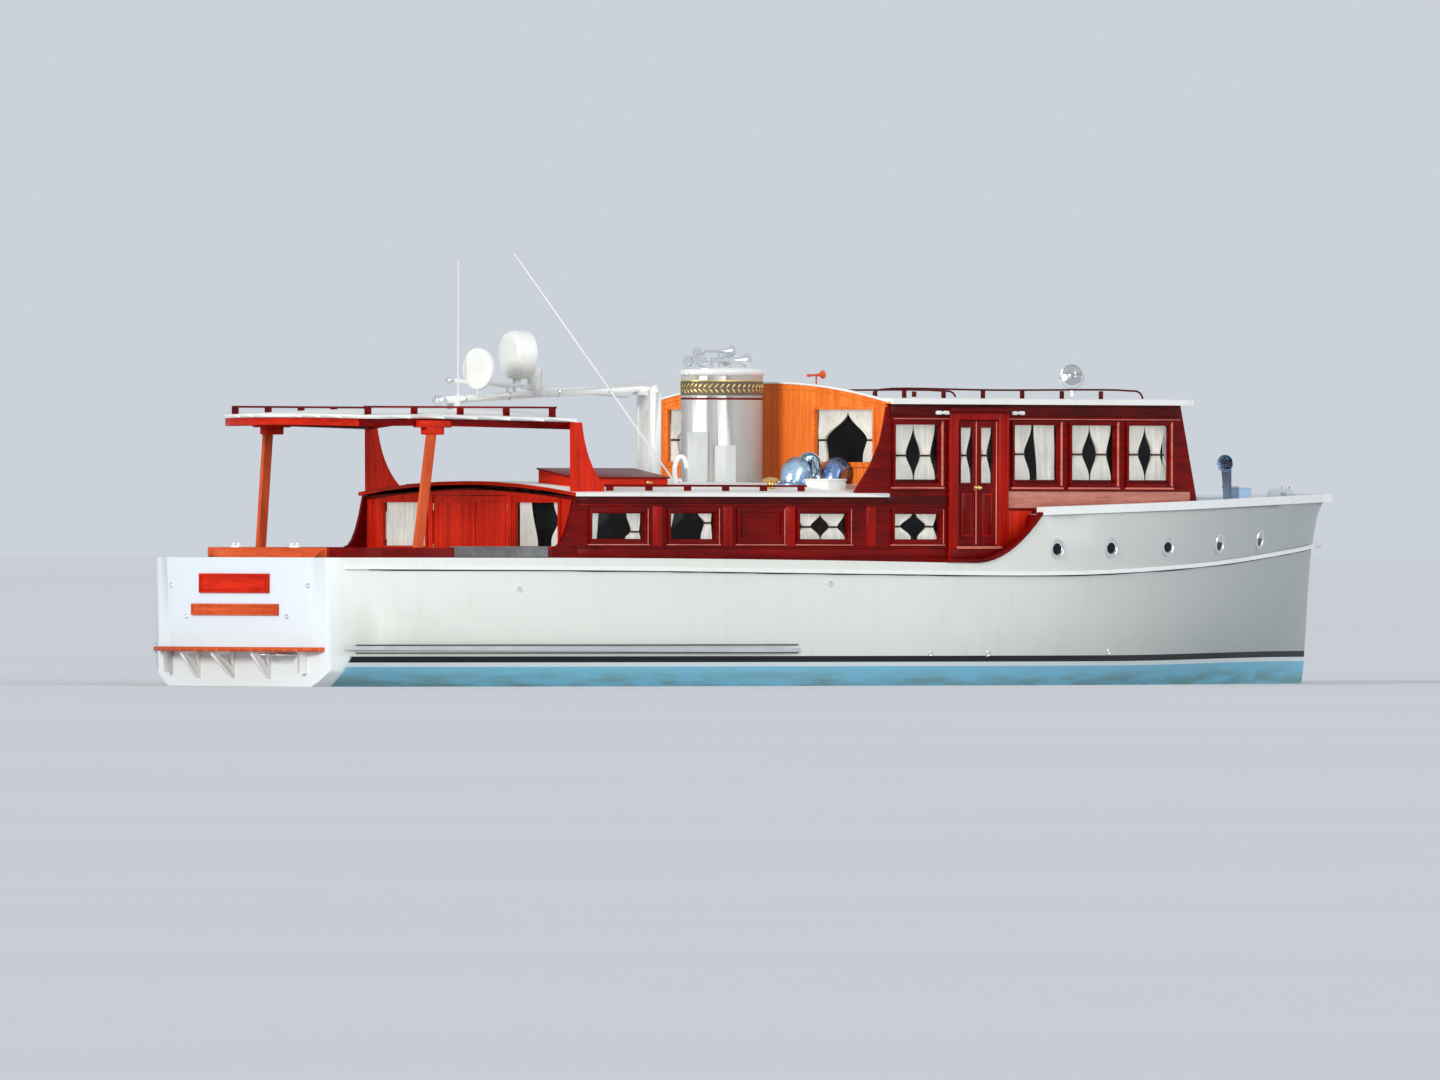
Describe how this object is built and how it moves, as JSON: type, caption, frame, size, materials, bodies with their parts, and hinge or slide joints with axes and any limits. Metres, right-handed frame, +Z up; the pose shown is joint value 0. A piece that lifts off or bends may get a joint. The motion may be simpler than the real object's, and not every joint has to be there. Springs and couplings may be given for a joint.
{
  "type": "wooden motor yacht used as a houseboat",
  "caption": "Wooden motor yacht lived aboard as a houseboat, with varnished trunk cabin and wheelhouse, raised foredeck, covered aft cockpit, funnel and a mast that folds aft.",
  "frame": {"origin": "on the waterline, on the centreline, amidships (11 m forward of the transom)", "axes": "+X forward, +Y to port, +Z up"},
  "size_m": [22.4, 5.2052, 7.2485],
  "materials": {
    "topside_paint": "pale cream yacht enamel over planking, slightly weathered",
    "white_paint": "white gloss paint",
    "mahogany_varnish": "red-stained mahogany under glossy varnish",
    "bright_varnish": "orange-red varnished wood, glossy",
    "teak_plank": "scrubbed and oiled planks",
    "window_glass": "clear window glass",
    "bronze": "marine bronze, dulled",
    "chrome": "polished chrome",
    "engine_grey": "painted cast iron",
    "keel_timber": "timber keel in blue bottom paint"
  },
  "bodies": {
    "boat": {"hull": "topside_paint", "guard_rail": "topside_paint", "rub_strake_starboard": "topside_paint", "rub_strake_port": "topside_paint", "keel": "keel_timber", "foredeck_cap_rail": "white_paint", "trunk_roof": "white_paint", "wheelhouse_roof": "white_paint", "canopy": "white_paint", "funnel": "white_paint", "tabernacle": "white_paint", "roof_locker": "white_paint", "foredeck_locker": "white_paint", "sweep_cap_starboard": "mahogany_varnish", "sweep_cap_port": "mahogany_varnish", "cockpit_coaming": "mahogany_varnish", "upper_transom_board": "mahogany_varnish", "lower_transom_board": "mahogany_varnish", "trunk_side_starboard": "mahogany_varnish", "trunk_side_port": "mahogany_varnish", "trunk_aft_bulkhead": "mahogany_varnish", "wheelhouse_side_starboard": "mahogany_varnish", "wheelhouse_side_port": "mahogany_varnish", "wheelhouse_front": "mahogany_varnish", "canopy_forward_post_starboard": "mahogany_varnish", "canopy_forward_post_port": "mahogany_varnish", "roof_box": "mahogany_varnish", "roof_handrail_starboard": "mahogany_varnish", "roof_handrail_port": "mahogany_varnish", "wheelhouse_aft_bulkhead": "bright_varnish", "canopy_aft_post_starboard": "bright_varnish", "canopy_aft_post_port": "bright_varnish", "swim_platform": "teak_plank", "wheelhouse_floor": "teak_plank", "wheelhouse_front_glass": "window_glass", "wheelhouse_glass_starboard": "window_glass", "wheelhouse_glass_port": "window_glass", "shaft_strut_starboard": "bronze", "shaft_strut_port": "bronze", "air_horns": "chrome", "searchlight": "chrome", "windlass": "chrome", "foredeck_vent": "chrome", "roof_vents": "chrome", "engine_starboard": "engine_grey", "engine_port": "engine_grey"},
    "mast": {"mast": "white_paint", "radar_dome": "white_paint", "aerial_dome": "white_paint"},
    "swim_ladder": {"swim_ladder": "chrome"},
    "aft_door_starboard": {"aft_door_starboard": "mahogany_varnish"},
    "aft_door_port": {"aft_door_port": "mahogany_varnish"},
    "side_door_aft_starboard": {"side_door_aft_starboard": "mahogany_varnish"},
    "side_door_aft_port": {"side_door_aft_port": "mahogany_varnish"},
    "side_door_forward_starboard": {"side_door_forward_starboard": "mahogany_varnish"},
    "side_door_forward_port": {"side_door_forward_port": "mahogany_varnish"},
    "propeller_starboard": {"propeller_starboard": "bronze"},
    "propeller_port": {"propeller_port": "bronze"},
    "rudder_starboard": {"rudder_starboard": "bronze"},
    "rudder_port": {"rudder_port": "bronze"}
  },
  "joints": [
    {"name": "mast_raise", "type": "hinge", "parent": "boat", "child": "mast", "pos_m": [-2.87, 0, 4.13], "axis": [0, 1, 0], "range_deg": [0, 90]},
    {"name": "swim_ladder_fold", "type": "hinge", "parent": "boat", "child": "swim_ladder", "pos_m": [-11.32, -1, 0.445], "axis": [0, 1, 0], "range_deg": [0, 90]},
    {"name": "propeller_starboard_spin", "type": "hinge", "parent": "boat", "child": "propeller_starboard", "pos_m": [-9.16, -0.78, -0.8293], "axis": [0.9976, 0, 0.0687], "continuous": true},
    {"name": "rudder_starboard_turn", "type": "hinge", "parent": "boat", "child": "rudder_starboard", "pos_m": [-10.17, -0.78, -0.6], "axis": [0, 0, 1], "range_deg": [-35, 35]},
    {"name": "aft_door_starboard_swing", "type": "hinge", "parent": "boat", "child": "aft_door_starboard", "pos_m": [-6.384, -0.738, 1.8], "axis": [0, 0, 1], "range_deg": [0, 110]},
    {"name": "side_door_aft_starboard_swing", "type": "hinge", "parent": "boat", "child": "side_door_aft_starboard", "pos_m": [0.954, -2.266, 2.8], "axis": [0, 0, 1], "range_deg": [0, 95]},
    {"name": "side_door_forward_starboard_swing", "type": "hinge", "parent": "boat", "child": "side_door_forward_starboard", "pos_m": [1.766, -2.266, 2.8], "axis": [0, 0, -1], "range_deg": [0, 95]},
    {"name": "propeller_port_spin", "type": "hinge", "parent": "boat", "child": "propeller_port", "pos_m": [-9.16, 0.78, -0.8293], "axis": [0.9976, 0, 0.0687], "continuous": true},
    {"name": "rudder_port_turn", "type": "hinge", "parent": "boat", "child": "rudder_port", "pos_m": [-10.17, 0.78, -0.6], "axis": [0, 0, 1], "range_deg": [-35, 35]},
    {"name": "aft_door_port_swing", "type": "hinge", "parent": "boat", "child": "aft_door_port", "pos_m": [-6.384, 0.738, 1.8], "axis": [0, 0, -1], "range_deg": [0, 110]},
    {"name": "side_door_aft_port_swing", "type": "hinge", "parent": "boat", "child": "side_door_aft_port", "pos_m": [0.954, 2.266, 2.8], "axis": [0, 0, -1], "range_deg": [0, 95]},
    {"name": "side_door_forward_port_swing", "type": "hinge", "parent": "boat", "child": "side_door_forward_port", "pos_m": [1.766, 2.266, 2.8], "axis": [0, 0, 1], "range_deg": [0, 95]}
  ],
  "couplings": [
    {"joint": "rudder_port_turn", "follows": "rudder_starboard_turn", "ratio": 1}
  ]
}
